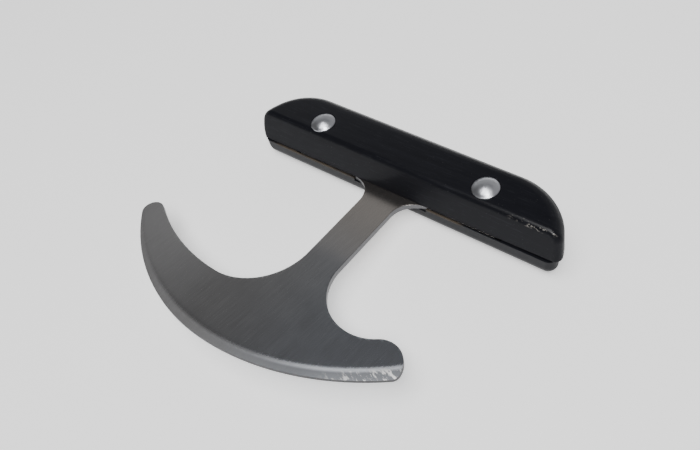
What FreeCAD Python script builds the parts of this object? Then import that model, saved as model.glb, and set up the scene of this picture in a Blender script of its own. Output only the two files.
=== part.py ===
import FreeCAD, Part
import math
import os
import Sketcher

# A two-horned hive tool: one steel plate with a crescent scraping edge and a stem, its
# T-shaped tang held between two wooden scales by two domed rivets.
# X runs along the handle, -Y from the handle to the crescent, +Z up.
# The origin is on the handle's underside, halfway between the two rivets.

DIMENSIONS = (
    # the steel plate; its drops and reaches are measured from the bend at the grip's front
    ("plate_thickness", 2.0),
    ("blade_set", 5.7),
    ("stem_half_width", 6.8),
    ("throat_drop", 37.1),
    ("left_throat_radius", 22.75),
    ("left_inner_radius", 79.5),
    ("left_tip_radius", 4.2),
    ("left_tip_reach", 72.3),
    ("outer_left_radius", 81.0),
    ("outer_right_radius", 99.5),
    ("blade_reach", 81.3),
    ("right_corner_radius", 2.8),
    ("right_horn_radius", 7.9),
    ("right_horn_reach", 38.6),
    ("right_inner_radius", 16.5),
    ("right_throat_radius", 17.7),
    # the ground bevel along the outer edge
    ("bevel_radius", 90.3),
    ("bevel_offset", 14.9),
    ("bevel_centre", 12.1),
    ("bevel_width", 9.0),
    ("bevel_angle", 13.0),
    # the tang inside the handle
    ("flare_radius", 9.0),
    ("tang_front", 9.05),
    ("tang_back", 8.0),
    ("tang_half_length", 45.0),
    ("tang_corner", 3.0),
    ("tang_play", 0.15),
    # the two scales
    ("handle_thickness", 20.0),
    ("seam_height", 8.6),
    ("seam_gap", 0.35),
    ("handle_back", 12.8),
    ("back_taper", 1.2),
    ("left_end_radius", 22.2),
    ("right_end_radius", 24.8),
    ("upper_front", 9.05),
    ("upper_left", 64.3),
    ("upper_right", 66.4),
    ("upper_setback", 3.67),
    ("upper_edge_round", 4.7),
    ("upper_crease_round", 2.2),
    ("lower_front", 9.65),
    ("lower_left", 62.65),
    ("lower_right", 64.8),
    ("lower_edge_round", 5.0),
    ("lower_corner_round", 3.0),
    # the rivets and their burrs
    ("rivet_spacing", 70.0),
    ("shank_radius", 2.25),
    ("shank_play", 0.05),
    ("head_radius", 4.6),
    ("head_height", 2.1),
    ("head_rim", 0.35),
    ("tail_radius", 3.6),
    ("tail_height", 0.7),
    ("burr_radius", 4.8),
    ("burr_thickness", 1.0),
    ("counterbore_radius", 5.0),
    ("counterbore_depth", 2.0),
)

FRONT_OVERCUT = 1.0
CUT_ALL = 400.0

doc = FreeCAD.newDocument("HiveTool")
sheet = doc.addObject("Spreadsheet::Sheet", "Dims")
for row, (alias, size) in enumerate(DIMENSIONS, start=1):
    sheet.set(f"A{row}", alias)
    sheet.set(f"B{row}", str(size))
    sheet.setAlias(f"B{row}", alias)
doc.recompute()


def size_of(alias):
    return float(sheet.get(alias))


def new_body(label):
    body = doc.addObject("PartDesign::Body", label)
    body.Label = label
    return body


def sketch_on(body, name, role):
    plane = next(item for item in body.Origin.OriginFeatures if item.Role == role)
    sketch = body.newObject("Sketcher::SketchObject", name)
    sketch.AttachmentSupport = [(plane, "")]
    sketch.MapMode = "FlatFace"
    return sketch


def line(sketch, start, end):
    return sketch.addGeometry(Part.LineSegment(FreeCAD.Vector(*start, 0), FreeCAD.Vector(*end, 0)))


def arc(sketch, centre, radius, first, last):
    circle = Part.Circle(FreeCAD.Vector(*centre, 0), FreeCAD.Vector(0, 0, 1), radius)
    return sketch.addGeometry(Part.ArcOfCircle(circle, math.radians(first), math.radians(last)))


def constrain(sketch, kind, *items):
    return sketch.addConstraint(Sketcher.Constraint(kind, *items))


def drive(sketch, kind, name, formula, *items):
    """Add a dimension and bind it to a formula on the sheet."""
    index = sketch.addConstraint(Sketcher.Constraint(kind, *items))
    sketch.renameConstraint(index, name)
    sketch.setExpression(f"Constraints.{name}", formula)


START, END, CENTRE = 1, 2, 3
AXES = -1
ORIGIN = 1


def chain(sketch, parts, smooth):
    """Join the outline's pieces end to end; the joints named in smooth are tangent ones."""
    for place, (piece, _, leaves) in enumerate(parts):
        following, enters, _ = parts[(place + 1) % len(parts)]
        kind = "Tangent" if place in smooth else "Coincident"
        constrain(sketch, kind, piece, leaves, following, enters)


def edges_where(shape, wanted):
    return [f"Edge{number}" for number, edge in enumerate(shape.Edges, start=1) if wanted(edge)]


def round_edges(body, name, formula, wanted):
    base = body.Tip
    fillet = body.newObject("PartDesign::Fillet", name)
    fillet.Base = (base, edges_where(base.Shape, wanted))
    fillet.setExpression("Radius", formula)
    base.Visibility = False
    doc.recompute()
    return fillet


def pad(body, name, sketch, formula):
    feature = body.newObject("PartDesign::Pad", name)
    feature.Profile = sketch
    feature.setExpression("Length", formula)
    doc.recompute()
    return feature


def pocket(body, name, sketch, formula, reverse=False, both_ways=False):
    before = body.Tip.Shape.Volume
    feature = body.newObject("PartDesign::Pocket", name)
    feature.Profile = sketch
    feature.Reversed = reverse
    if both_ways:
        feature.SideType = "Symmetric"
    feature.setExpression("Length", formula)
    doc.recompute()
    if not feature.Shape.Volume < before - 1e-3:
        raise RuntimeError(f"{name} cuts nothing")
    return feature


def rivet_circles(body, name, role, formula):
    """Two circles of one radius on the rivet line."""
    sketch = sketch_on(body, name, role)
    for side, sign in (("left", -1), ("right", 1)):
        spot = FreeCAD.Vector(sign * size_of("rivet_spacing") / 2, 0, 0)
        circle = sketch.addGeometry(Part.Circle(spot, FreeCAD.Vector(0, 0, 1), size_of("shank_radius")))
        drive(sketch, "Radius", f"{side}_radius", formula, circle, size_of("shank_radius"))
        drive(sketch, "DistanceX", f"{side}_place", f"{sign} * Dims.rivet_spacing / 2",
              AXES, ORIGIN, circle, CENTRE, sign * size_of("rivet_spacing") / 2)
        constrain(sketch, "PointOnObject", circle, CENTRE, AXES)
    return sketch


# ---------------------------------------------------------------- steel plate
# Stamped from 2 mm sheet: T-shaped tang, straight stem, and a crescent with a long slender
# horn on the left and a short blunt one on the right. The plate is bent up a little where it
# leaves the grip, so the body lies in the crescent's plane, with its origin on the bend.

FLARE_MEETS = math.cos(math.radians(5))


def plate_outline(body):
    """The crescent, the stem and its two flares, as far as the bend."""
    sketch = sketch_on(body, "PlateOutline", "XY_Plane")
    stem = size_of("stem_half_width")
    throat = -size_of("throat_drop")
    reach = -size_of("blade_reach")
    left_x = -stem - size_of("left_throat_radius")
    left_low = throat - size_of("left_throat_radius")
    right_x = stem + size_of("right_throat_radius")
    right_low = throat - size_of("right_throat_radius")
    inner = size_of("left_inner_radius")
    outer_left = size_of("outer_left_radius")
    outer_right = size_of("outer_right_radius")
    tip = (-size_of("left_tip_reach"), -51.6)
    horn = (size_of("right_horn_reach"), -58.2)
    outer_x = -15.2
    flare = size_of("flare_radius")
    shoulder = -flare * FLARE_MEETS
    root = stem + flare * (1 - math.sin(math.radians(5)))

    stem_left = line(sketch, (-stem, shoulder), (-stem, throat))
    left_throat = arc(sketch, (left_x, throat), size_of("left_throat_radius"), -90, 0)
    left_inner = arc(sketch, (left_x, left_low + inner), inner, -120.9, -90)
    left_tip = arc(sketch, tip, size_of("left_tip_radius"), 59.1, 222)
    outer_l = arc(sketch, (outer_x, reach + outer_left), outer_left, 222, 270)
    outer_r = arc(sketch, (outer_x, reach + outer_right), outer_right, -90, -52.6)
    corner = arc(sketch, (43.7, -58.3), size_of("right_corner_radius"), -52.6, 4.4)
    right_horn = arc(sketch, horn, size_of("right_horn_radius"), 4.4, 125.3)
    right_inner = arc(sketch, (right_x, right_low + size_of("right_inner_radius")),
                      size_of("right_inner_radius"), -90, -54.7)
    right_throat = arc(sketch, (right_x, throat), size_of("right_throat_radius"), 180, 270)
    stem_right = line(sketch, (stem, throat), (stem, shoulder))
    right_flare = arc(sketch, (stem + flare, shoulder), flare, 95, 180)
    bend = line(sketch, (root, 0), (-root, 0))
    left_flare = arc(sketch, (-stem - flare, shoulder), flare, 0, 85)

    hollow = (left_throat, left_inner, right_inner, right_throat, right_flare, left_flare)
    order = (stem_left, left_throat, left_inner, left_tip, outer_l, outer_r, corner, right_horn,
             right_inner, right_throat, stem_right, right_flare, bend, left_flare)
    parts = [(piece, END, START) if piece in hollow else (piece, START, END) for piece in order]
    at_bend = (11, 12)
    chain(sketch, parts, [place for place in range(len(parts)) if place not in at_bend])

    for piece in (stem_left, stem_right):
        constrain(sketch, "Vertical", piece)
    constrain(sketch, "Vertical", left_throat, CENTRE, left_inner, CENTRE)
    constrain(sketch, "Vertical", outer_l, CENTRE, outer_r, CENTRE)
    constrain(sketch, "Vertical", right_throat, CENTRE, right_inner, CENTRE)
    constrain(sketch, "PointOnObject", bend, START, AXES)
    constrain(sketch, "PointOnObject", bend, END, AXES)

    radii = (
        (left_throat, "left_throat_radius"), (left_inner, "left_inner_radius"),
        (left_tip, "left_tip_radius"), (outer_l, "outer_left_radius"),
        (outer_r, "outer_right_radius"), (corner, "right_corner_radius"),
        (right_horn, "right_horn_radius"), (right_inner, "right_inner_radius"),
        (right_throat, "right_throat_radius"), (right_flare, "flare_radius"),
    )
    for piece, alias in radii:
        drive(sketch, "Radius", alias, f"Dims.{alias}", piece, size_of(alias))
    constrain(sketch, "Equal", right_flare, left_flare)

    shoulder_text = f"-{FLARE_MEETS:.6f} * Dims.flare_radius"
    places = (
        ("DistanceX", "stem_left_place", "-Dims.stem_half_width", stem_left, START, -stem),
        ("DistanceX", "stem_right_place", "Dims.stem_half_width", stem_right, START, stem),
        ("DistanceY", "left_throat_place", "-Dims.throat_drop", left_throat, CENTRE, throat),
        ("DistanceY", "right_throat_place", "-Dims.throat_drop", right_throat, CENTRE, throat),
        ("DistanceX", "tip_place", "-Dims.left_tip_reach", left_tip, CENTRE, tip[0]),
        ("DistanceY", "lowest_place", "-Dims.blade_reach", outer_l, END, reach),
        ("DistanceX", "horn_place", "Dims.right_horn_reach", right_horn, CENTRE, horn[0]),
        ("DistanceY", "left_flare_place", shoulder_text, left_flare, CENTRE, shoulder),
        ("DistanceY", "right_flare_place", shoulder_text, right_flare, CENTRE, shoulder),
    )
    for kind, name, formula, piece, point, size in places:
        drive(sketch, kind, name, formula, AXES, ORIGIN, piece, point, size)
    doc.recompute()
    return sketch


def lay_level(sketch):
    """Turn a sketch of the plate's body level again, with its origin on the rivet line."""
    turn = FreeCAD.Rotation(FreeCAD.Vector(1, 0, 0), size_of("blade_set"))
    sketch.AttachmentOffset = FreeCAD.Placement(FreeCAD.Vector(), turn)
    sketch.setExpression("AttachmentOffset.Rotation.Angle", "Dims.blade_set")
    sketch.setExpression("AttachmentOffset.Base.y", "Dims.tang_front * cos(Dims.blade_set)")
    sketch.setExpression("AttachmentOffset.Base.z", "Dims.tang_front * sin(Dims.blade_set)")
    doc.recompute()
    return sketch


def tang_outline(body):
    sketch = lay_level(sketch_on(body, "TangOutline", "XY_Plane"))
    half = size_of("tang_half_length")
    front = -size_of("tang_front")
    back = size_of("tang_back")
    corners = ((-half, front), (half, front), (half, back), (-half, back))
    sides = [line(sketch, corners[place], corners[(place + 1) % 4]) for place in range(4)]
    chain(sketch, [(side, START, END) for side in sides], ())
    for place, side in enumerate(sides):
        constrain(sketch, "Vertical" if place % 2 else "Horizontal", side)
    places = (
        ("DistanceX", "left", "-Dims.tang_half_length", sides[0], START, -half),
        ("DistanceY", "front", "-Dims.tang_front", sides[0], START, front),
        ("DistanceX", "right", "Dims.tang_half_length", sides[1], START, half),
        ("DistanceY", "back", "Dims.tang_back", sides[2], START, back),
    )
    for kind, name, formula, piece, point, size in places:
        drive(sketch, kind, name, formula, AXES, ORIGIN, piece, point, size)
    doc.recompute()
    return sketch


def cut_bevel(body):
    """Grind the outer edge's top to a shallow cone about one centre, wider to the right."""
    sketch = sketch_on(body, "BevelSection", "XZ_Plane")
    sketch.setExpression("AttachmentOffset.Base.x", "-Dims.bevel_offset")
    sketch.setExpression("AttachmentOffset.Base.z", "-Dims.bevel_centre")
    inner = size_of("bevel_radius")
    width = size_of("bevel_width")
    top = size_of("plate_thickness")
    drop = width * math.tan(math.radians(size_of("bevel_angle")))
    slope = line(sketch, (inner, top), (inner + width, top - drop))
    side = line(sketch, (inner + width, top - drop), (inner + width, top + drop))
    lid = line(sketch, (inner + width, top + drop), (inner, top))
    chain(sketch, [(slope, START, END), (side, START, END), (lid, START, END)], ())
    constrain(sketch, "Vertical", side)
    fall = "Dims.bevel_width * tan(Dims.bevel_angle)"
    drive(sketch, "DistanceX", "inner", "Dims.bevel_radius", AXES, ORIGIN, slope, START, inner)
    drive(sketch, "DistanceY", "top", "Dims.plate_thickness", AXES, ORIGIN, slope, START, top)
    drive(sketch, "DistanceX", "width", "Dims.bevel_width", slope, START, slope, END, width)
    drive(sketch, "DistanceY", "fall", fall, slope, END, slope, START, drop)
    drive(sketch, "DistanceY", "clear", fall, slope, START, side, END, drop)
    doc.recompute()
    before = body.Tip.Shape.Volume
    bevel = body.newObject("PartDesign::Groove", "Bevel")
    bevel.Profile = sketch
    bevel.ReferenceAxis = (sketch, ["V_Axis"])
    bevel.Angle = 360
    doc.recompute()
    if not bevel.Shape.Volume < before - 1:
        raise RuntimeError("the bevel cuts nothing")


blade = new_body("blade")
pad(blade, "Plate", plate_outline(blade), "Dims.plate_thickness")
pad(blade, "Tang", tang_outline(blade), "Dims.plate_thickness")
plate_holes = rivet_circles(blade, "PlateHoleCircles", "XY_Plane",
                            "Dims.shank_radius + Dims.shank_play")
pocket(blade, "PlateHoles", lay_level(plate_holes), "Dims.plate_thickness", reverse=True)


def is_tang_corner(edge):
    across = abs(edge.Length - size_of("plate_thickness")) < 0.01
    return across and abs(abs(edge.Vertexes[0].Point.x) - size_of("tang_half_length")) < 0.01


round_edges(blade, "TangCorners", "Dims.tang_corner", is_tang_corner)
cut_bevel(blade)
blade.Placement = FreeCAD.Placement(
    FreeCAD.Vector(), FreeCAD.Rotation(FreeCAD.Vector(-1, 0, 0), size_of("blade_set")))
blade.setExpression("Placement.Rotation.Angle", "Dims.blade_set")
blade.setExpression("Placement.Base.y", "-Dims.tang_front")
blade.setExpression("Placement.Base.z", "Dims.seam_height + Dims.seam_gap - Dims.plate_thickness")


# ---------------------------------------------------------------- wooden scales
# Both are sawn to one D-shaped plan: a straight front and a back whose corners are swept
# round. The upper one's front is planed back to a crease; the lower one's edges are rounded.

def scale_plan(body, side):
    sketch = sketch_on(body, f"{side.title()}Plan", "XY_Plane")
    front = -size_of(f"{side}_front")
    back = size_of("handle_back")
    left = -size_of(f"{side}_left")
    right = size_of(f"{side}_right")
    left_round = size_of("left_end_radius")
    right_round = size_of("right_end_radius")
    left_centre = (left + left_round, back - left_round)
    right_centre = (right - right_round, back - size_of("back_taper") - right_round)
    lean_right = math.degrees(math.asin((front - right_centre[1]) / right_round))
    lean_left = math.degrees(math.asin((front - left_centre[1]) / left_round))

    front_edge = line(sketch, (left, front), (right, front))
    right_end = arc(sketch, right_centre, right_round, lean_right, 90)
    back_edge = line(sketch, (right_centre[0], back - size_of("back_taper")), (left_centre[0], back))
    left_end = arc(sketch, left_centre, left_round, 90, 180 - lean_left)
    parts = [(piece, START, END) for piece in (front_edge, right_end, back_edge, left_end)]
    chain(sketch, parts, (1, 2))
    constrain(sketch, "Horizontal", front_edge)
    drive(sketch, "Radius", "left_round", "Dims.left_end_radius", left_end, left_round)
    drive(sketch, "Radius", "right_round", "Dims.right_end_radius", right_end, right_round)
    drive(sketch, "DistanceY", "front_place", f"-Dims.{side}_front", AXES, ORIGIN, front_edge, START, front)
    drive(sketch, "DistanceY", "left_depth", "Dims.handle_back - Dims.left_end_radius",
          AXES, ORIGIN, left_end, CENTRE, left_centre[1])
    drive(sketch, "DistanceY", "right_depth", "Dims.handle_back - Dims.back_taper - Dims.right_end_radius",
          AXES, ORIGIN, right_end, CENTRE, right_centre[1])
    drive(sketch, "DistanceX", "left_place", f"Dims.left_end_radius - Dims.{side}_left",
          AXES, ORIGIN, left_end, CENTRE, left_centre[0])
    drive(sketch, "DistanceX", "right_place", f"Dims.{side}_right - Dims.right_end_radius",
          AXES, ORIGIN, right_end, CENTRE, right_centre[0])
    doc.recompute()
    return sketch


def plane_front(body):
    """Plane the upper scale's front from its lower edge back to the crease."""
    sketch = sketch_on(body, "FrontWedge", "YZ_Plane")
    front = -size_of("upper_front")
    rise = size_of("handle_thickness") - size_of("seam_height") - size_of("seam_gap")
    crease = front + size_of("upper_setback")
    slope = line(sketch, (front, 0), (crease, rise))
    lid = line(sketch, (crease, rise), (front - FRONT_OVERCUT, rise))
    outside = line(sketch, (front - FRONT_OVERCUT, rise), (front, 0))
    chain(sketch, [(slope, START, END), (lid, START, END), (outside, START, END)], ())
    constrain(sketch, "Horizontal", lid)
    constrain(sketch, "PointOnObject", slope, START, AXES)
    drive(sketch, "DistanceX", "front", "-Dims.upper_front", AXES, ORIGIN, slope, START, front)
    drive(sketch, "DistanceX", "setback", "Dims.upper_setback", slope, START, slope, END,
          size_of("upper_setback"))
    drive(sketch, "DistanceY", "rise", "Dims.handle_thickness - Dims.seam_height - Dims.seam_gap",
          slope, START, slope, END, rise)
    drive(sketch, "DistanceX", "overcut", f"Dims.upper_front + {FRONT_OVERCUT}",
          lid, END, AXES, ORIGIN, size_of("upper_front") + FRONT_OVERCUT)
    doc.recompute()
    pocket(body, "PlanedFront", sketch, f"{CUT_ALL}", both_ways=True)


def tang_recess(body):
    """Sink a seat for the tang and leave it open to the front where the stem comes out."""
    sketch = sketch_on(body, "TangSeat", "XY_Plane")
    sketch.setExpression("AttachmentOffset.Base.z", "Dims.seam_height")
    play = size_of("tang_play")
    half = size_of("tang_half_length") + play
    back = size_of("tang_back") + play
    front = -size_of("tang_front") - play
    gate = size_of("stem_half_width") + size_of("flare_radius") + play
    mouth = -size_of("lower_front") - FRONT_OVERCUT
    corners = ((-half, front), (-gate, front), (-gate, mouth), (gate, mouth), (gate, front),
               (half, front), (half, back), (-half, back))
    sides = [line(sketch, corners[place], corners[(place + 1) % len(corners)])
             for place in range(len(corners))]
    chain(sketch, [(side, START, END) for side in sides], ())
    for place, side in enumerate(sides):
        constrain(sketch, "Vertical" if place % 2 else "Horizontal", side)
    constrain(sketch, "PointOnObject", sides[4], START, sides[0])
    half_text = "(Dims.tang_half_length + Dims.tang_play)"
    gate_text = "(Dims.stem_half_width + Dims.flare_radius + Dims.tang_play)"
    places = (
        ("DistanceX", "left", f"-{half_text}", sides[0], START, -half),
        ("DistanceY", "front", "-Dims.tang_front - Dims.tang_play", sides[0], START, front),
        ("DistanceX", "gate_left", f"-{gate_text}", sides[1], START, -gate),
        ("DistanceY", "mouth", f"-Dims.lower_front - {FRONT_OVERCUT}", sides[2], START, mouth),
        ("DistanceX", "gate_right", gate_text, sides[3], START, gate),
        ("DistanceX", "right", half_text, sides[5], START, half),
        ("DistanceY", "back", "Dims.tang_back + Dims.tang_play", sides[6], START, back),
    )
    for kind, name, formula, piece, point, size in places:
        drive(sketch, kind, name, formula, AXES, ORIGIN, piece, point, size)
    doc.recompute()
    pocket(body, "TangSeatCut", sketch, "Dims.plate_thickness - Dims.seam_gap")


def is_front_corner(edge):
    """An upright or leaning edge where a scale's front meets one of its ends."""
    box = edge.BoundBox
    return box.ZLength > 1 and box.YMax < 0 and abs(box.XMax) > 50


def at_height(edge, height):
    return all(abs(vertex.Point.z - height) < 0.01 for vertex in edge.Vertexes)


upper_scale = new_body("upper_scale")
pad(upper_scale, "UpperBlock", scale_plan(upper_scale, "upper"),
    "Dims.handle_thickness - Dims.seam_height - Dims.seam_gap")
plane_front(upper_scale)
upper_rise = size_of("handle_thickness") - size_of("seam_height") - size_of("seam_gap")
crease_y = size_of("upper_setback") - size_of("upper_front")


def is_swept_edge(edge):
    return at_height(edge, upper_rise) and edge.BoundBox.YMax > crease_y + 1


def is_crease(edge):
    box = edge.BoundBox
    return at_height(edge, upper_rise) and abs(box.YMax - crease_y) < 0.1 and box.XLength > 20


round_edges(upper_scale, "UpperEdges", "Dims.upper_edge_round", is_swept_edge)
round_edges(upper_scale, "UpperCrease", "Dims.upper_crease_round", is_crease)
pocket(upper_scale, "UpperHoles",
       rivet_circles(upper_scale, "UpperHoleCircles", "XY_Plane", "Dims.shank_radius + Dims.shank_play"),
       f"{CUT_ALL}", both_ways=True)
upper_scale.setExpression("Placement.Base.z", "Dims.seam_height + Dims.seam_gap")

lower_scale = new_body("lower_scale")
pad(lower_scale, "LowerBlock", scale_plan(lower_scale, "lower"), "Dims.seam_height")
round_edges(lower_scale, "LowerEdges", "Dims.lower_edge_round", lambda edge: at_height(edge, 0))
round_edges(lower_scale, "LowerCorners", "Dims.lower_corner_round", is_front_corner)
tang_recess(lower_scale)
pocket(lower_scale, "LowerHoles",
       rivet_circles(lower_scale, "LowerHoleCircles", "XY_Plane", "Dims.shank_radius + Dims.shank_play"),
       f"{CUT_ALL}", both_ways=True)
pocket(lower_scale, "Counterbores",
       rivet_circles(lower_scale, "CounterboreCircles", "XY_Plane", "Dims.counterbore_radius"),
       "Dims.counterbore_depth", reverse=True)


# ---------------------------------------------------------------- rivets and burrs
# Soft aluminium rivets go in from the top; each tail is peened over a burr, a flat washer
# sunk in the handle's underside, so that nothing stands proud below.

def rivet_profile(body, name):
    sketch = sketch_on(body, name, "XZ_Plane")
    head = size_of("head_radius")
    rim = size_of("head_rim")
    height = size_of("head_height")
    shank = size_of("shank_radius")
    grip = size_of("handle_thickness") - size_of("counterbore_depth") + size_of("burr_thickness")
    tail = size_of("tail_radius")
    end = -grip - size_of("tail_height")
    dome = (head ** 2 + (height - rim) ** 2) / (2 * (height - rim))
    crown = (tail ** 2 + size_of("tail_height") ** 2) / (2 * size_of("tail_height"))
    spread = math.degrees(math.asin(head / dome))
    splay = math.degrees(math.asin(tail / crown))
    axis = line(sketch, (0, height), (0, end))
    tail_arc = arc(sketch, (0, end + crown), crown, -90, -90 + splay)
    shelf = line(sketch, (tail, -grip), (shank, -grip))
    side = line(sketch, (shank, -grip), (shank, 0))
    seat = line(sketch, (shank, 0), (head, 0))
    edge = line(sketch, (head, 0), (head, rim))
    head_arc = arc(sketch, (0, height - dome), dome, 90 - spread, 90)
    parts = [(piece, START, END) for piece in (axis, tail_arc, shelf, side, seat, edge, head_arc)]
    chain(sketch, parts, ())
    constrain(sketch, "PointOnObject", axis, START, -2)
    constrain(sketch, "PointOnObject", axis, END, -2)
    constrain(sketch, "PointOnObject", tail_arc, CENTRE, -2)
    constrain(sketch, "PointOnObject", head_arc, CENTRE, -2)
    constrain(sketch, "Horizontal", shelf)
    constrain(sketch, "Vertical", side)
    constrain(sketch, "Horizontal", seat)
    constrain(sketch, "Vertical", edge)
    constrain(sketch, "PointOnObject", seat, START, AXES)
    grip_text = "Dims.handle_thickness - Dims.counterbore_depth + Dims.burr_thickness"
    places = (
        ("DistanceX", "shank", "Dims.shank_radius", side, START, shank),
        ("DistanceX", "head", "Dims.head_radius", edge, START, head),
        ("DistanceX", "tail", "Dims.tail_radius", shelf, START, tail),
        ("DistanceY", "rim", "Dims.head_rim", edge, END, rim),
        ("DistanceY", "top", "Dims.head_height", axis, START, height),
        ("DistanceY", "grip", f"-({grip_text})", shelf, START, -grip),
        ("DistanceY", "bottom", f"-({grip_text} + Dims.tail_height)", axis, END, end),
    )
    for kind, name_, formula, piece, point, size in places:
        drive(sketch, kind, name_, formula, AXES, ORIGIN, piece, point, size)
    doc.recompute()
    return sketch


def make_rivet(label, sign):
    body = new_body(label)
    sketch = rivet_profile(body, f"{label}_profile")
    turned = body.newObject("PartDesign::Revolution", f"{label}_turned")
    turned.Profile = sketch
    turned.ReferenceAxis = (sketch, ["V_Axis"])
    turned.Angle = 360
    body.setExpression("Placement.Base.x", f"{sign} * Dims.rivet_spacing / 2")
    body.setExpression("Placement.Base.z", "Dims.handle_thickness")
    return body


def make_burr(label, sign):
    body = new_body(label)
    sketch = sketch_on(body, f"{label}_ring", "XY_Plane")
    for name, formula, radius in (
            ("outside", "Dims.burr_radius", size_of("burr_radius")),
            ("hole", "Dims.shank_radius + Dims.shank_play", size_of("shank_radius"))):
        circle = sketch.addGeometry(Part.Circle(FreeCAD.Vector(), FreeCAD.Vector(0, 0, 1), radius))
        constrain(sketch, "Coincident", circle, CENTRE, AXES, ORIGIN)
        drive(sketch, "Radius", name, formula, circle, radius)
    pad(body, f"{label}_disc", sketch, "Dims.burr_thickness")
    body.setExpression("Placement.Base.x", f"{sign} * Dims.rivet_spacing / 2")
    body.setExpression("Placement.Base.z", "Dims.counterbore_depth - Dims.burr_thickness")
    return body


pieces = [blade, upper_scale, lower_scale]
for hand, sign in (("left", -1), ("right", 1)):
    pieces.append(make_rivet(f"{hand}_rivet", sign))
    pieces.append(make_burr(f"{hand}_burr", sign))
doc.recompute()


# ---------------------------------------------------------------- checks and files

for item in doc.Objects:
    if "Invalid" in item.State or "Error" in item.State:
        raise RuntimeError(f"{item.Label} failed: {item.State}")
    if item.TypeId == "Sketcher::SketchObject" and item.solve() != 0:
        raise RuntimeError(f"{item.Label} does not solve")
for piece in pieces:
    if piece.Shape.isNull() or not piece.Shape.isValid() or len(piece.Shape.Solids) != 1:
        raise RuntimeError(f"{piece.Label} is not one valid solid")

os.makedirs("parts", exist_ok=True)
for piece in pieces:
    piece.Shape.exportStep(f"parts/{piece.Label}.step")
    box = piece.Shape.BoundBox
    print(f"{piece.Label:12} {piece.Shape.Volume:9.1f} mm3  x {box.XMin:.1f}..{box.XMax:.1f}"
          f"  y {box.YMin:.1f}..{box.YMax:.1f}  z {box.ZMin:.2f}..{box.ZMax:.2f}")
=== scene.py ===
import math

import bmesh
import bpy
from mathutils import Matrix, Vector


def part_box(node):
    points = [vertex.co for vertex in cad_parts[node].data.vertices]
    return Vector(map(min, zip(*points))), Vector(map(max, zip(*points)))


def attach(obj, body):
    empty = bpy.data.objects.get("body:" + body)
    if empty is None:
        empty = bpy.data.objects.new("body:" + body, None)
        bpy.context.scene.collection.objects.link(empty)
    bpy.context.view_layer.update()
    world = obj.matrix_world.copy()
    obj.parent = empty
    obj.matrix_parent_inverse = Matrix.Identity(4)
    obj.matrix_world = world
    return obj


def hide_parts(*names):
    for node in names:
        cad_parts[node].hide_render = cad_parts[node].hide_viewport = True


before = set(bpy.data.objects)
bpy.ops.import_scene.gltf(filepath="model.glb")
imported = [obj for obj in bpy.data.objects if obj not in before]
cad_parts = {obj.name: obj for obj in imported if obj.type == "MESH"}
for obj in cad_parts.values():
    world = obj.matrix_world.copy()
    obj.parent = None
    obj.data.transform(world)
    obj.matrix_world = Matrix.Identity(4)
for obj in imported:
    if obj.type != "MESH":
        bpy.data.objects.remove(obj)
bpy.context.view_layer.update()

MM = 0.001


# ---------------------------------------------------------------- blade
# One plate of 2 mm spring steel, stamped out as a crescent with a stem and a T-shaped tang.
# Its faces are brushed along the stem, its rims are dulled, and the crescent's outer edge is
# rolled over to a shallow ground band that widens towards the short horn.

class Value:
    """A socket in a finish; arithmetic on it adds Math nodes to that finish."""

    def __init__(self, finish, socket):
        self.finish = finish
        self.socket = socket

    def __add__(self, other):
        return self.finish.maths("ADD", self, other)

    def __radd__(self, other):
        return self.finish.maths("ADD", other, self)

    def __sub__(self, other):
        return self.finish.maths("SUBTRACT", self, other)

    def __rsub__(self, other):
        return self.finish.maths("SUBTRACT", other, self)

    def __mul__(self, other):
        return self.finish.maths("MULTIPLY", self, other)

    def __rmul__(self, other):
        return self.finish.maths("MULTIPLY", other, self)

    def __abs__(self):
        return self.finish.maths("ABSOLUTE", self)


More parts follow.
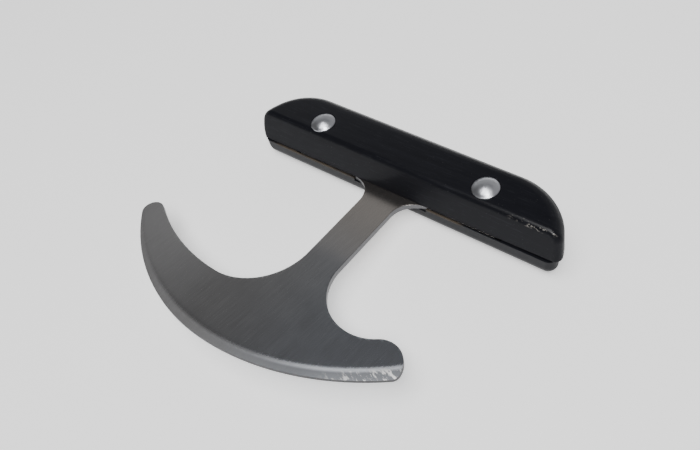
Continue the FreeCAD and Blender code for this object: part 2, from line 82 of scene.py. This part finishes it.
class Finish:
    """A material in the making: its nodes and its one Principled shader."""

    def __init__(self, name, constants):
        self.material = bpy.data.materials.new(name)
        self.material.use_nodes = True
        self.tree = self.material.node_tree
        self.shader = self.tree.nodes["Principled BSDF"]
        for socket, value in constants.items():
            self.shader.inputs[socket].default_value = value
        self.place = self.node("ShaderNodeTexCoord", {}, "Object")
        apart = self.node("ShaderNodeSeparateXYZ", {0: self.place}).socket.node
        self.x, self.y, self.z = (Value(self, socket) * (1 / MM) for socket in apart.outputs)

    def node(self, kind, sockets, output=0, **settings):
        """Add a node, set it up, plug its sockets and give back one of its outputs."""
        made = self.tree.nodes.new(kind)
        for name, value in settings.items():
            setattr(made, name, value)
        for socket, value in sockets.items():
            if isinstance(value, Value):
                self.tree.links.new(value.socket, made.inputs[socket])
            else:
                made.inputs[socket].default_value = value
        return Value(self, made.outputs[output])

    def maths(self, operation, *terms):
        return self.node("ShaderNodeMath", dict(enumerate(terms)), operation=operation)

    def step(self, value, low, high):
        """0 at low, 1 at high and smooth between."""
        return self.node("ShaderNodeMapRange", {"Value": value, "From Min": low, "From Max": high},
                         interpolation_type="SMOOTHSTEP")

    def mix(self, factor, first, second):
        return self.node("ShaderNodeMix", {0: factor, 6: first, 7: second}, 2, data_type="RGBA")

    def upward(self):
        """1 where the surface faces up, 0 on a wall and -1 underneath."""
        facing = self.node("ShaderNodeNewGeometry", {}, "Normal")
        return self.node("ShaderNodeSeparateXYZ", {0: facing}, "Z")

    def grain(self, per_metre, detail=2.0, roughness=0.5, turn=0.0):
        """Noise with its own number of features to the metre along X, Y and Z."""
        place = self.node("ShaderNodeMapping", {"Vector": self.place, "Rotation": (0, 0, turn)})
        place = self.node("ShaderNodeVectorMath", {0: place, 1: per_metre}, operation="MULTIPLY")
        return self.node("ShaderNodeTexNoise", {"Vector": place, "Scale": 1.0, "Detail": detail,
                                                "Roughness": roughness})

    def finish_with(self, **links):
        """Plug the varying values into the shader; bump is a height in millimetres."""
        if "Bump" in links:
            height = links.pop("Bump")
            links["Normal"] = self.node("ShaderNodeBump", {"Height": height, "Distance": MM,
                                                           "Strength": 1.0})
        for socket, value in links.items():
            self.tree.links.new(value.socket, self.shader.inputs[socket.replace("_", " ")])
        return self.material


WELD = 0.002 * MM


def merged_copy(node):
    """A CAD node's loose triangles joined up, with its flat areas made whole."""
    form = bmesh.new()
    form.from_mesh(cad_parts[node].data)
    bmesh.ops.remove_doubles(form, verts=form.verts, dist=WELD)
    bmesh.ops.dissolve_limit(form, angle_limit=math.radians(0.2), verts=form.verts, edges=form.edges)
    return form


def sharp_edges(form, degrees, wanted=lambda edge: True):
    limit = math.radians(degrees)
    return [edge for edge in form.edges
            if edge.is_manifold and edge.calc_face_angle() > limit and wanted(edge)]


def soften(form, edges, width, segments):
    bmesh.ops.bevel(form, geom=edges, offset=width, offset_type="OFFSET", segments=segments,
                    profile=0.5, affect="EDGES", clamp_overlap=True, material=-1)


CUT_TOLERANCE = 0.0005 * MM


def grid_cut(form, axis, low, high, pitch):
    """Slice a form across one axis, so that it can be bent between the slices."""
    normal = Vector((0, 0, 0))
    normal[axis] = 1
    for number in range(int((high - low) / pitch) + 1):
        spot = normal * (low + number * pitch)
        bmesh.ops.bisect_plane(form, geom=form.verts[:] + form.edges[:] + form.faces[:],
                               plane_co=spot, plane_no=normal, dist=CUT_TOLERANCE)


def add_piece(form, name, material, slot, *nodes, crisp, flatness=True):
    """Make a form into a piece of the tool that stands for its CAD node.

    Edges turning by more than crisp degrees stay sharp; flatness keeps broad faces evenly lit.
    """
    bmesh.ops.recalc_face_normals(form, faces=form.faces)
    mesh = bpy.data.meshes.new(name)
    form.to_mesh(mesh)
    form.free()
    mesh.shade_smooth()
    mesh.set_sharp_from_angle(angle=math.radians(crisp))
    mesh.materials.append(material)
    piece = bpy.data.objects.new(name, mesh)
    bpy.context.scene.collection.objects.link(piece)
    if flatness:
        weighted = piece.modifiers.new("even_normals", "WEIGHTED_NORMAL")
        weighted.keep_sharp = True
        weighted.weight = 60
    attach(piece, "root")
    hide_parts(*nodes)


blade_low, blade_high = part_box("blade")
PLATE = 2.0 * MM
RIM = 0.22 * MM
GRID = 1.0 * MM
BEND = -9.05 * MM
SET = math.radians(5.7)
BEND_LENGTH = 3.0 * MM
ROLL_CENTRE = Vector((-14.9, 3.05)) * MM
ROLL_LEVEL = 7.75 * MM
ROLL_START = 89.2 * MM
ROLL_SOFT = 3.0 * MM
ROLL_SLOPE = 0.235
CRESCENT_FROM = -30.0 * MM


def roll_drop(x, y):
    """How far the crescent's rolled band falls below the plate's flat top."""
    out = (Vector((x, y)) - ROLL_CENTRE).length - ROLL_START
    if out <= 0 or y > CRESCENT_FROM:
        return 0.0
    if out < ROLL_SOFT:
        return ROLL_SLOPE * out ** 2 / (2 * ROLL_SOFT)
    return ROLL_SLOPE * (out - ROLL_SOFT / 2)


def is_rim(edge):
    return edge.verts[0].co.z == edge.verts[1].co.z


plate = merged_copy("blade")
for vertex in plate.verts:
    if vertex.co.y < BEND:
        vertex.co.z -= (BEND - vertex.co.y) * math.tan(SET)
        vertex.co.y = BEND - (BEND - vertex.co.y) / math.cos(SET)
plate.normal_update()
others = [face for face in plate.faces if face.normal.z > -0.995]
bmesh.ops.delete(plate, geom=others, context="FACES")
bmesh.ops.reverse_faces(plate, faces=plate.faces)
for vertex in plate.verts:
    vertex.co.z = blade_low.z
lid = bmesh.ops.extrude_face_region(plate, geom=plate.faces[:])["geom"]
bmesh.ops.translate(plate, vec=(0, 0, PLATE),
                    verts=[item for item in lid if isinstance(item, bmesh.types.BMVert)])
bmesh.ops.recalc_face_normals(plate, faces=plate.faces)
soften(plate, sharp_edges(plate, 60, is_rim), RIM, 2)
bmesh.ops.triangulate(plate, faces=[face for face in plate.faces if len(face.verts) > 4])
grid_cut(plate, 0, blade_low.x + GRID, blade_high.x, GRID)
grid_cut(plate, 1, blade_low.y - GRID, BEND, GRID)
grid_cut(plate, 1, BEND, BEND, GRID)
for vertex in plate.verts:
    rise = vertex.co.z - blade_low.z
    rise -= rise / PLATE * roll_drop(vertex.co.x, vertex.co.y)
    out = max(0.0, BEND - vertex.co.y)
    lean = min(1.0, out / BEND_LENGTH)
    vertex.co.z = blade_low.z + out * math.sin(SET) + rise * (1 - lean * (1 - math.cos(SET)))
    vertex.co.y += out * (1 - math.cos(SET)) + rise * lean * math.sin(SET)

steel = Finish("plate_steel", {"Metallic": 1.0})
strokes = steel.grain((2100, 70, 70), 3.0, 0.6, turn=0.12)
fine_strokes = steel.grain((5200, 190, 190), 2.0, 0.6, turn=-0.25)
cloud = steel.grain((34, 34, 34), 3.0, 0.5)
stain = steel.grain((170, 170, 170), 4.0, 0.65)
outward = steel.node("ShaderNodeVectorMath",
                     {0: steel.place, 1: (ROLL_CENTRE.x, ROLL_CENTRE.y, ROLL_LEVEL)}, "Value",
                     operation="DISTANCE")
on_crescent = steel.step(steel.y, -38, -46)
band = steel.step(outward, ROLL_START, ROLL_START + 2.6 * MM) * on_crescent
into_band = (outward - ROLL_START) * (1 / MM)
lip = steel.step(into_band, 0.3, 1.2) * steel.step(into_band, 2.6, 1.5) * on_crescent
patch_noise = steel.grain((260, 760, 760), 4.0, 0.75, turn=0.35)
# Patches on the band towards the horn: worn metal, partly painted glints.
worn_glint_patches = steel.step(patch_noise, 0.50, 0.60) * steel.step(steel.x, 24, 40) * band
sheared = steel.step(abs(steel.upward()), 0.75, 0.35)
warm = (0.52, 0.485, 0.455, 1)
neutral = (0.51, 0.505, 0.51, 1)
cool = (0.51, 0.53, 0.57, 1)
colour = steel.mix(steel.step(steel.y, -18, -48), warm, neutral)
colour = steel.mix(on_crescent * steel.step(steel.x, -25, 30), colour, cool)
shade = 0.60 + 0.38 * cloud + 0.22 * strokes + 0.12 * fine_strokes
# The crescent is made darker from its middle to its right than at its left: painted shade.
shade = shade * (1 - 0.20 * on_crescent * steel.step(steel.x, -55, -20))
near_horn = steel.step(steel.x, -40, 25)
at_horn = steel.step(steel.x, 0, 30)
# The ground band is darkened, most towards the horn: painted shade.
shade = shade * (1 - band * (0.12 + 0.56 * near_horn))
# A bright line along the band's lip, brightest at the horn: painted highlight.
shade = shade * (1 + lip * (0.15 + 0.95 * at_horn))
colour = steel.node("ShaderNodeVectorMath", {0: colour, 3: shade}, operation="SCALE")
# The band's patches are lightened to a pale grey: partly wear, partly painted glints.
colour = steel.mix(worn_glint_patches * 0.7, colour, (0.72, 0.71, 0.70, 1))
colour = steel.mix(sheared, colour, (0.13, 0.13, 0.135, 1))
rough = 0.15 + 0.07 * strokes + 0.07 * stain + 0.24 * band + 0.2 * sheared
relief = 0.0009 * strokes + 0.0004 * fine_strokes + 0.012 * worn_glint_patches
steel.finish_with(Base_Color=colour, Roughness=rough, Bump=relief)

add_piece(plate, "blade_plate", steel.material, "plate_steel", "blade", crisp=40)


# ---------------------------------------------------------------- lower scale
# The hidden half of the grip: a hardwood block that the tang is let into, stained black and
# lacquered with its mate. Its top front edge has rubbed through to bare wood in two places.

lower_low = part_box("lower_scale")[0]
EASE = 0.35 * MM


def lacquered_wood(name):
    """Black stain and satin lacquer over a fine straight grain that runs along the grip."""
    wood = Finish(name, {"Coat Roughness": 0.13, "Coat IOR": 1.45, "Specular IOR Level": 0.12})
    pores = wood.grain((110, 2600, 2600), 3.0, 0.65)
    figure = wood.grain((24, 420, 420), 2.0, 0.55)
    wave = wood.grain((70, 110, 110), 2.0, 0.5)
    specks = wood.step(wood.grain((2300, 2300, 2300), 1.0, 0.4), 0.755, 0.79)
    tone = wood.mix(figure, (0.0028, 0.0031, 0.0052, 1), (0.0080, 0.0084, 0.0115, 1))
    tone = wood.mix(wood.step(pores, 0.55, 0.72) * 0.6, tone, (0.019, 0.020, 0.025, 1))
    tone = wood.mix(specks * 0.4, tone, (0.12, 0.12, 0.12, 1))
    return wood, pores, wave, specks, tone


wood, pores, wave, specks, tone = lacquered_wood("lower_lacquer")
lip = wood.step(wood.z, 7.7, 8.3) * wood.step(wood.y, -8.8, -9.3)
where = wood.grain((70, 70, 70), 3.0, 0.6)
left_part = wood.step(wood.x, -60, -50) * wood.step(wood.x, -13, -17)
right_part = wood.step(wood.x, 14, 18) * wood.step(wood.x, 32, 28)
rubbed = lip * wood.step(where, 0.34, 0.52) * (left_part + right_part)
tone = wood.mix(rubbed * 0.8, tone, (0.075, 0.058, 0.042, 1))
rough = 0.44 + 0.15 * pores + 0.15 * rubbed + 0.2 * specks
relief = 0.016 * pores + 0.05 * wave
lower_lacquer = wood.finish_with(Base_Color=tone, Roughness=rough, Coat_Weight=0.10 - 0.09 * rubbed,
                                 Bump=relief)

lower = merged_copy("lower_scale")
soften(lower, sharp_edges(lower, 50), EASE, 2)
add_piece(lower, "lower_scale_block", lower_lacquer, "lacquered_wood", "lower_scale", crisp=35)


# ---------------------------------------------------------------- upper scale
# The half that shows: its top is flat, its front is planed back to a crease, and its ends and
# back are swept round. It has lifted a little at the right end, its crease is chipped, with light
# flecks near that end that are partly a painted highlight, and its top is polished by the palm.

upper_low, upper_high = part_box("upper_scale")
FRONT = -9.05 * MM
SETBACK = 3.67 * MM
LEFT_SWEEP = (-42.1 * MM, -9.4 * MM, 22.2 * MM)
RIGHT_SWEEP = (41.6 * MM, -13.2 * MM, 24.8 * MM)
CORNER = 2.6 * MM
TAPER = 1.1 * MM
TAPER_FROM = 52 * MM
TAPER_LENGTH = 12 * MM
LIFT = 0.8 * MM
LIFT_FROM = 33.0 * MM
SKEW = 0.75 * MM
SKEW_DEPTH = 5.0 * MM

upper = merged_copy("upper_scale")


def share_of_height(z):
    """0 at the scale's underside and 1 at its top."""
    return (z - upper_low.z) / (upper_high.z - upper_low.z)


def front_of(z):
    """Where the planed front stands at a height."""
    return FRONT + SETBACK * share_of_height(z)


def end_of(x, y):
    """How far a swept end reaches at a depth of the grip."""
    centre_x, centre_y, radius = LEFT_SWEEP if x < 0 else RIGHT_SWEEP
    return centre_x + math.copysign(math.sqrt(radius ** 2 - (y - centre_y) ** 2), x)


def ease_corner(spot):
    """Wrap the upright corner between the front and an end round a small radius."""
    inward = spot.y - front_of(spot.z)
    if inward >= CORNER:
        return
    along = abs(end_of(spot.x, spot.y)) - abs(spot.x)
    if along >= CORNER:
        return
    reach = math.hypot(CORNER - inward, CORNER - along)
    if reach > CORNER:
        spot.y += (CORNER - inward) * (1 - CORNER / reach)
        spot.x -= math.copysign((CORNER - along) * (1 - CORNER / reach), spot.x)


def is_bottom(edge):
    return all(vertex.co.z < upper_low.z + 0.1 * MM for vertex in edge.verts)


soften(upper, sharp_edges(upper, 50, is_bottom), EASE, 2)
bmesh.ops.triangulate(upper, faces=[face for face in upper.faces if len(face.verts) > 4])
grid_cut(upper, 0, upper_low.x + 4 * MM, upper_high.x - 4 * MM, 4 * MM)
grid_cut(upper, 0, upper_low.x + 0.3 * MM, upper_low.x + 3.2 * MM, 0.4 * MM)
grid_cut(upper, 0, upper_high.x - 3.2 * MM, upper_high.x, 0.4 * MM)
grid_cut(upper, 1, FRONT + 0.3 * MM, FRONT + SETBACK + CORNER, 0.4 * MM)
for vertex in upper.verts:
    ease_corner(vertex.co)
    share = share_of_height(vertex.co.z)
    tuck = max(0.0, (-vertex.co.x - TAPER_FROM) / TAPER_LENGTH) ** 2
    below, above = max(0.0, 1 - share / 0.45), max(0.0, share / 0.5 - 1)
    vertex.co.x += TAPER * tuck * (below ** 2 + above ** 2)
for vertex in upper.verts:
    share = share_of_height(vertex.co.z)
    out = max(0.0, vertex.co.x - LIFT_FROM) / (upper_high.x - LIFT_FROM)
    vertex.co.z += LIFT * (1 - share) * out ** 1.3
    forward = min(1.0, max(0.0, -vertex.co.y / SKEW_DEPTH))
    vertex.co.y -= SKEW * share * forward * vertex.co.x / upper_high.x

wood, pores, wave, specks, tone = lacquered_wood("upper_lacquer")
crease_y = -5.38 - 0.0115 * wood.x
off_crease = abs(wood.y - crease_y)
on_crease = wood.step(off_crease, 1.3, 0.4) * wood.step(wood.z, 18.2, 19.0)
chip_glint_noise = wood.step(wood.grain((500, 900, 900), 3.0, 0.7), 0.54, 0.61)
# Light grey flecks along the crease near the right end: chipped lacquer, partly a painted highlight
# on the crease.
chips_and_glints = on_crease * chip_glint_noise * wood.step(wood.x, 45, 52)
tone = wood.mix(chips_and_glints, tone, (0.20, 0.19, 0.175, 1))
polished = wood.step(wood.upward(), 0.6, 0.9)
rough = 0.47 + 0.15 * pores - 0.19 * polished + 0.2 * chips_and_glints + 0.2 * specks
relief = 0.014 * pores + 0.05 * wave - 0.06 * chips_and_glints
coat = 0.09 + polished * (0.42 - 0.24 * wood.step(wood.x, 10, 50)) + 0.3 * chips_and_glints
upper_lacquer = wood.finish_with(Base_Color=tone, Roughness=rough, Coat_Weight=coat, Bump=relief)
add_piece(upper, "upper_scale_block", upper_lacquer, "lacquered_wood", "upper_scale", crisp=35)


# ---------------------------------------------------------------- rivets
# Two soft aluminium rivets, domed and bright on top, go through both scales and the tang.
# Their tails are peened over the burrs underneath.

HEAD = 4.6 * MM
HEAD_RISE = 2.1 * MM
HEAD_RIM = 0.35 * MM
SHANK = 2.25 * MM
TAIL = 3.6 * MM
TAIL_RISE = 0.7 * MM


def turn(name, profile, centre, steps=56):
    """Spin a profile of radius and height once round an upright axis."""
    form = bmesh.new()
    spots = [form.verts.new((centre.x + radius, centre.y, height)) for radius, height in profile]
    edges = [form.edges.new(pair) for pair in zip(spots, spots[1:])]
    bmesh.ops.spin(form, geom=spots + edges, cent=(centre.x, centre.y, 0), axis=(0, 0, 1),
                   angle=math.tau, steps=steps, use_merge=True)
    bmesh.ops.remove_doubles(form, verts=form.verts, dist=WELD)
    bmesh.ops.holes_fill(form, edges=[edge for edge in form.edges if edge.is_boundary])
    return form


def dome(radius, rise, base, steps):
    """Points of a round cap, from its crown out to its rim."""
    ball = (radius ** 2 + rise ** 2) / (2 * rise)
    reach = math.asin(radius / ball)
    sign = math.copysign(1, rise)
    return [(abs(ball) * math.sin(abs(reach) * step / steps),
             base + rise - sign * abs(ball) * (1 - math.cos(reach * step / steps)))
            for step in range(steps + 1)]


def aluminium(name, hammered):
    """Satin aluminium, dulled in patches and marked by the riveting tool."""
    metal = Finish(name, {"Metallic": 1.0})
    dull = metal.grain((260, 260, 260), 3.0, 0.6)
    fine = metal.grain((2600, 2600, 2600), 3.0, 0.6)
    dents = metal.grain((700, 700, 700), 1.0, 0.5)
    tone = metal.mix(dull, (0.46, 0.47, 0.50, 1), (0.66, 0.67, 0.71, 1))
    tone = metal.mix(metal.step(fine, 0.6, 0.75) * 0.5, tone, (0.33, 0.33, 0.34, 1))
    return metal.finish_with(Base_Color=tone, Roughness=0.20 + 0.16 * dull + 0.08 * fine,
                             Bump=0.006 * fine + hammered * dents)


head_metal = aluminium("rivet_metal", 0.05)
for side in ("left", "right"):
    low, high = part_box(f"{side}_rivet")
    centre = (low + high) / 2
    seat = high.z - HEAD_RISE
    cap = dome(HEAD - 0.15 * MM, HEAD_RISE - HEAD_RIM, seat + HEAD_RIM, 12)
    bead = [(HEAD - 0.04 * MM, seat + HEAD_RIM - 0.06 * MM), (HEAD, seat + HEAD_RIM - 0.17 * MM)]
    tail_top = low.z + TAIL_RISE
    peen = dome(TAIL, -TAIL_RISE, tail_top, 6)
    profile = cap + bead + [(HEAD, seat), (SHANK, seat), (SHANK, tail_top)] + peen[::-1]
    form = turn(f"{side}_rivet_body", profile, centre)
    add_piece(form, f"{side}_rivet_body", head_metal, "rivet_aluminium", f"{side}_rivet", crisp=50,
              flatness=False)


# ---------------------------------------------------------------- burrs
# A burr is the loose washer that a rivet's tail is closed over. Each lies in a counterbore in
# the grip's underside, a little below the wood, with its rim eased by tumbling.

BURR = 4.8 * MM
BURR_EASE = 0.15 * MM

burr_metal = aluminium("burr_metal", 0.02)
for side in ("left", "right"):
    low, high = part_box(f"{side}_burr")
    centre = (low + high) / 2
    profile = [(SHANK, high.z), (BURR - BURR_EASE, high.z), (BURR, high.z - BURR_EASE),
               (BURR, low.z + BURR_EASE), (BURR - BURR_EASE, low.z), (SHANK, low.z), (SHANK, high.z)]
    form = turn(f"{side}_burr_ring", profile, centre)
    add_piece(form, f"{side}_burr_ring", burr_metal, "rivet_aluminium", f"{side}_burr", crisp=35,
              flatness=False)


# ---------------------------------------------------------------- floor, light and camera
# A pale sweep of floor under two large soft lights, one overhead and one beside the camera,
# in a quiet grey room.

FLOOR_HALF = 9.0
FLOOR_GAP = 0.05 * MM

sweep = bmesh.new()
bmesh.ops.create_grid(sweep, x_segments=2, y_segments=2, size=FLOOR_HALF)
bmesh.ops.translate(sweep, vec=(0, 0, lower_low.z - FLOOR_GAP), verts=sweep.verts)
floor_mesh = bpy.data.meshes.new("floor")
sweep.to_mesh(floor_mesh)
sweep.free()
floor = bpy.data.objects.new("floor", floor_mesh)
bpy.context.scene.collection.objects.link(floor)
paper = Finish("floor_paper", {"Roughness": 0.9, "Specular IOR Level": 0.1,
                                "Emission Color": (1, 1, 1, 1), "Emission Strength": 0.6})
mottle = paper.grain((6, 6, 6), 2.0, 0.5)
floor_mesh.materials.append(paper.finish_with(
    Base_Color=paper.mix(mottle, (0.90, 0.90, 0.90, 1), (0.92, 0.92, 0.92, 1))))


def soft_light(name, spot, aim, side, watts):
    """A square light that faces its aim."""
    lamp = bpy.data.lights.new(name, "AREA")
    lamp.shape = "RECTANGLE"
    lamp.size = side
    lamp.size_y = side
    lamp.energy = watts
    holder = bpy.data.objects.new(name, lamp)
    holder.location = spot
    holder.rotation_mode = "QUATERNION"
    holder.rotation_quaternion = (Vector(aim) - Vector(spot)).to_track_quat("-Z", "Y")
    bpy.context.scene.collection.objects.link(holder)


MIDDLE = (0, -0.03, 0)
soft_light("overhead_softbox", (0.0, -0.22, 1.1), MIDDLE, 0.7, 8)
soft_light("key_softbox", (0.50, -0.44, 1.08), MIDDLE, 0.5, 9)

room = bpy.data.worlds.new("room")
room.use_nodes = True
bpy.context.scene.world = room
walls = room.node_tree
walls.nodes["Background"].inputs["Strength"].default_value = 1.0
direction = walls.nodes.new("ShaderNodeTexCoord")
split = walls.nodes.new("ShaderNodeSeparateXYZ")
height_ramp = walls.nodes.new("ShaderNodeValToRGB")
side_ramp = walls.nodes.new("ShaderNodeMapRange")
side_ramp.interpolation_type = "SMOOTHSTEP"
side_ramp.inputs["From Min"].default_value = -0.15
side_ramp.inputs["From Max"].default_value = 0.55
side_ramp.inputs["To Min"].default_value = 0.25
side_ramp.inputs["To Max"].default_value = 1.0
walls.links.new(direction.outputs["Generated"], split.inputs[0])
walls.links.new(split.outputs["Z"], height_ramp.inputs["Fac"])
walls.links.new(split.outputs["Y"], side_ramp.inputs["Value"])
walls.links.new(height_ramp.outputs["Color"], walls.nodes["Background"].inputs["Color"])
walls.links.new(side_ramp.outputs["Result"], walls.nodes["Background"].inputs["Strength"])
stops = height_ramp.color_ramp.elements
stops[0].position = 0.0
stops[0].color = (0.40, 0.40, 0.40, 1)
stops[1].position = 0.78
stops[1].color = (0.15, 0.15, 0.155, 1)
for level, grey in ((0.58, 0.38), (0.62, 0.42), (0.66, 0.38), (0.715, 0.22)):
    stop = stops.new(level)
    stop.color = (grey, grey, grey, 1)

CAMERA_AT = Vector((125.14, -121.85, 199.43)) * MM
LOOKING = Vector((-0.5180, 0.3785, -0.7671)).normalized()
ROLL = math.radians(-20.36)

flat = LOOKING.cross(Vector((0, 0, 1))).normalized()
across = flat * math.cos(ROLL) + flat.cross(LOOKING) * math.sin(ROLL)
upward = across.cross(LOOKING)
lens = bpy.data.cameras.new("camera")
lens.lens = 36.73
lens.sensor_width = 36
lens.clip_start = 0.01
lens.clip_end = 20
camera = bpy.data.objects.new("camera", lens)
turned = Matrix((across, upward, -LOOKING)).transposed().to_4x4()
camera.matrix_world = Matrix.Translation(CAMERA_AT) @ turned
bpy.context.scene.collection.objects.link(camera)
bpy.context.scene.camera = camera
